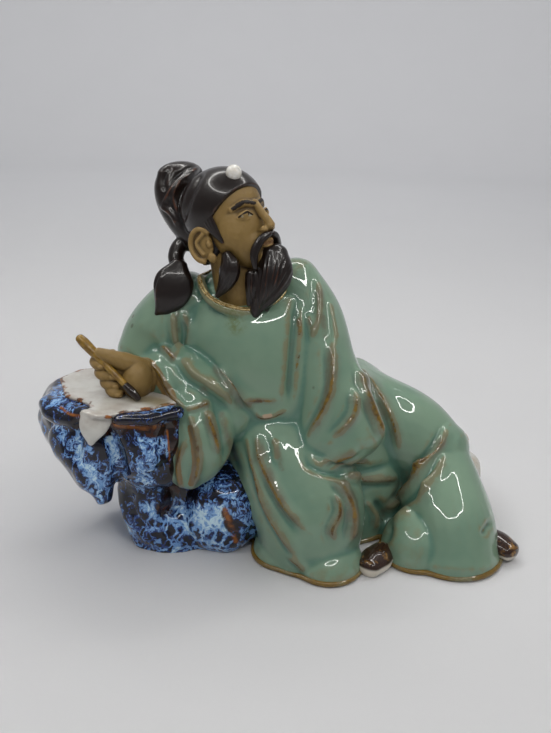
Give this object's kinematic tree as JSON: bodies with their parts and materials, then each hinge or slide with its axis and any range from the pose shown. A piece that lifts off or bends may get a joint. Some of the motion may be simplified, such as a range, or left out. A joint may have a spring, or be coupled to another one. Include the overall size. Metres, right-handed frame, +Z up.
{
  "type": "figurine",
  "caption": "Glazed pottery figurine of a robed, bearded scholar leaning back on a rock, with a brush raised over a sheet of paper.",
  "frame": {"origin": "middle of the bounding box's bottom face, on the ground under the seat", "axes": "+X from the rock to the feet, +Z up, and the figure's front faces -Y"},
  "size_m": [0.2112, 0.102, 0.1598],
  "materials": {
    "glazed_pottery": "glossy celadon glaze over pottery; the rock is a mottled blue flambe glaze, and the skin is bare satin clay"
  },
  "bodies": {
    "root": {"scholar_figurine": "glazed_pottery"}
  },
  "joints": []
}
